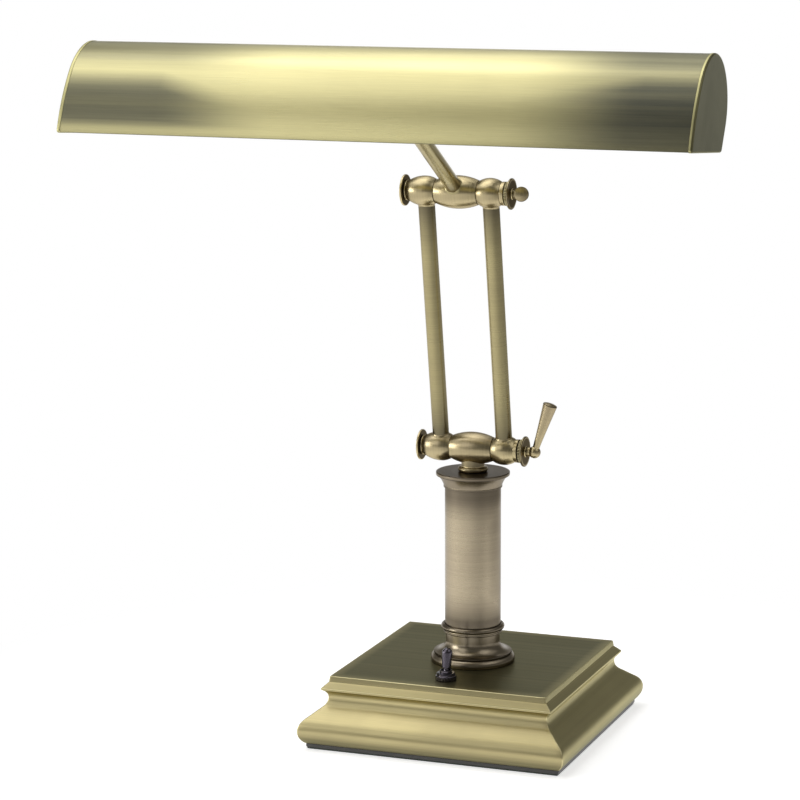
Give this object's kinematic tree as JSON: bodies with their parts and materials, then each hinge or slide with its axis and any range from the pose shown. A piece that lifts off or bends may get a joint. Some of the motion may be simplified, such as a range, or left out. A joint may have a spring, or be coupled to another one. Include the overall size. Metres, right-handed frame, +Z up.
{
  "type": "piano lamp",
  "caption": "Piano lamp with a long half-round brass shade on swing arms, a turned column and a square moulded base with a toggle switch.",
  "frame": {"origin": "middle of the base's underside, on the table", "axes": "+Z up, -Y towards the front, +X to the user's right, along the shade"},
  "size_m": [0.356, 0.2607, 0.4135],
  "materials": {
    "antique_brass": "brushed, aged brass with a satin lacquer",
    "dark_brass": "darkened brass, satin",
    "satin_brass": "satin brass with a warm patina",
    "plain_brass": "bare turned brass",
    "steel": "zinc-plated steel",
    "cover_steel": "black painted steel sheet",
    "iron": "rough cast iron",
    "gunmetal": "gloss black plated metal",
    "felt": "dark felt",
    "black_plastic": "moulded black plastic",
    "lead_sleeve": "black flex sleeve",
    "socket_white": "glazed off-white",
    "bulb_glass": "frosted glass tube"
  },
  "bodies": {
    "base": {"base_shell": "antique_brass", "base_weight": "iron", "cover_plate": "cover_steel", "cover_screws": "steel", "felt_pad": "felt", "cord_gland": "black_plastic", "column_foot": "satin_brass", "column_tube": "satin_brass", "column_capital": "satin_brass", "column_rod": "steel", "rod_washer": "steel", "rod_nut": "steel", "lower_neck": "antique_brass", "lower_barrel": "antique_brass", "column_lead": "lead_sleeve", "switch_body": "black_plastic", "switch_terminals": "plain_brass", "switch_bushing": "gunmetal", "switch_nut": "gunmetal"},
    "toggle": {"switch_lever": "gunmetal"},
    "arms": {"arm_left": "satin_brass", "arm_right": "satin_brass", "arm_lead": "lead_sleeve", "lower_hub_left": "antique_brass", "lower_hub_right": "antique_brass", "upper_hub_left": "antique_brass", "upper_hub_right": "antique_brass", "lower_bolt": "steel", "upper_bolt": "steel", "lower_cap": "antique_brass", "upper_cap": "antique_brass", "lower_lock_ring": "dark_brass", "upper_lock_ring": "dark_brass"},
    "lower_lever": {"lower_lever_nut": "antique_brass", "lower_lever_handle": "antique_brass"},
    "upper_lever": {"upper_lever_nut": "antique_brass", "upper_lever_handle": "antique_brass"},
    "head": {"upper_barrel": "antique_brass", "stem": "antique_brass", "stem_nipple": "plain_brass", "stem_nut": "plain_brass", "stem_lead": "lead_sleeve", "shade_shell": "antique_brass", "shade_end_left": "dark_brass", "shade_end_right": "dark_brass", "socket_bracket": "plain_brass", "socket_pipes": "plain_brass", "socket_nuts": "plain_brass", "socket_left": "socket_white", "socket_right": "socket_white", "bulb_glass_left": "bulb_glass", "bulb_glass_right": "bulb_glass", "bulb_base_left": "plain_brass", "bulb_base_right": "plain_brass"}
  },
  "joints": [
    {"name": "arm_tilt", "type": "hinge", "parent": "base", "child": "arms", "pos_m": [0, -0.003, 0.1706], "axis": [1, 0, 0], "range_deg": [-45, 60]},
    {"name": "shade_tilt", "type": "hinge", "parent": "arms", "child": "head", "pos_m": [0, -0.02917, 0.32469], "axis": [1, 0, 0], "range_deg": [-60, 90]},
    {"name": "lower_lever_turn", "type": "hinge", "parent": "arms", "child": "lower_lever", "pos_m": [0, -0.003, 0.1706], "axis": [1, 0, 0], "range_deg": [0, 180]},
    {"name": "upper_lever_turn", "type": "hinge", "parent": "arms", "child": "upper_lever", "pos_m": [0, -0.02917, 0.32469], "axis": [1, 0, 0], "range_deg": [0, 180]},
    {"name": "switch_toggle", "type": "hinge", "parent": "base", "child": "toggle", "pos_m": [0, -0.05, 0.0455], "axis": [1, 0, 0], "range_deg": [0, 20]}
  ]
}
